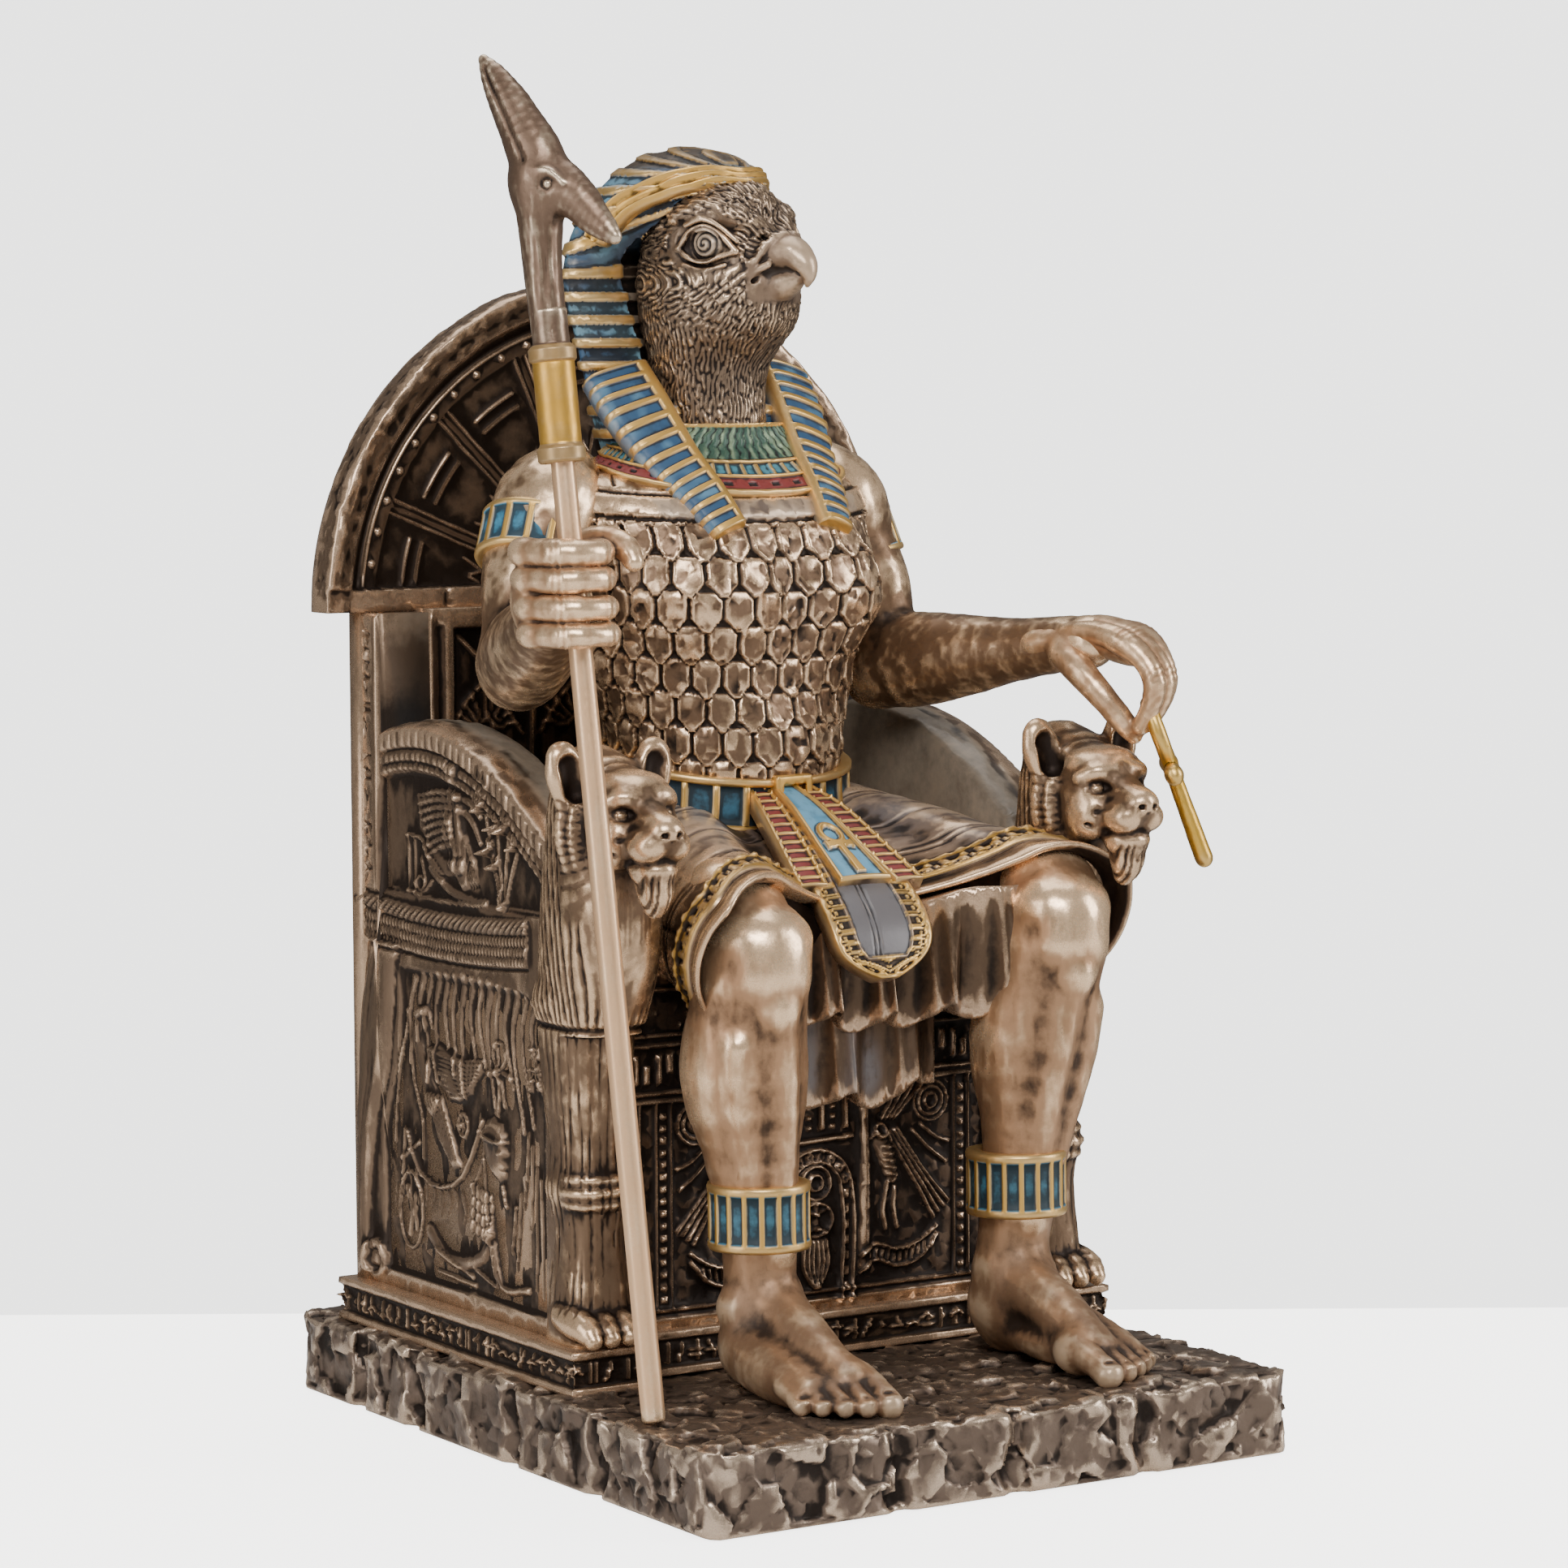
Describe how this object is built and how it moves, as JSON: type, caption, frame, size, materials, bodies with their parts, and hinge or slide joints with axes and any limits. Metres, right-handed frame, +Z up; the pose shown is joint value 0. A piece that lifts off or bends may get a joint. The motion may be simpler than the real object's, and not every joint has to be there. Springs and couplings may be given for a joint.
{
  "type": "horus falcon figure",
  "caption": "Seated falcon-headed figure on a lion-armed throne with a half-round back board, on a stone-block slab, holding a tall staff and an ankh.",
  "frame": {"origin": "middle of the slab's underside", "axes": "+Z up from the underside, the figure faces -Y and its right hand with the staff is at -X"},
  "size_m": [0.1512, 0.1624, 0.2687],
  "materials": {
    "bronze": "cold-cast bronze, dark wash in the hollows and pale dry-brushed edges, painted cloth and trim",
    "pale_bronze": "satin pale copper bronze",
    "grey_bronze": "satin grey bronze with a gold sleeve and rings",
    "gold": "dull gold paint with a brown wash"
  },
  "bodies": {
    "root": {"throne_figure": "bronze", "staff_shaft": "pale_bronze", "staff_head": "grey_bronze", "ankh": "gold"}
  },
  "joints": []
}
